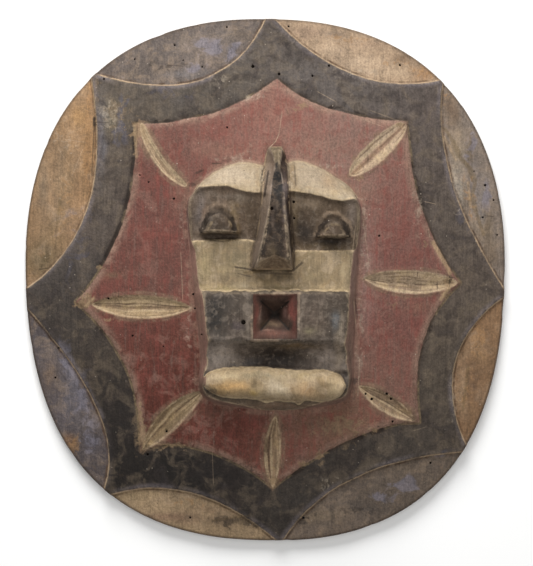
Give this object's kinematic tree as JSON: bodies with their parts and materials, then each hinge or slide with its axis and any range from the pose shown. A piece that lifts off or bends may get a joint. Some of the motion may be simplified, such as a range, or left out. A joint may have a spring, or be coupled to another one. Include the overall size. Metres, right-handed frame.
{
  "type": "round wooden shield",
  "caption": "Round domed shield carved from one piece of wood, with painted star bands, a raised mask face and a hand grip across its hollow back.",
  "frame": {"origin": "centre of the box's underside: the plane of the back edge that the shield lies on", "axes": "+Z is the way the carved face looks, +Y is towards the top of the face, +X is to the right seen from the front"},
  "size_m": [0.5536, 0.6024, 0.116],
  "materials": {
    "painted_wood": "worn matt earth and clay paints over dry carved wood, bare dark wood behind"
  },
  "bodies": {
    "root": {"shield": "painted_wood"}
  },
  "joints": []
}
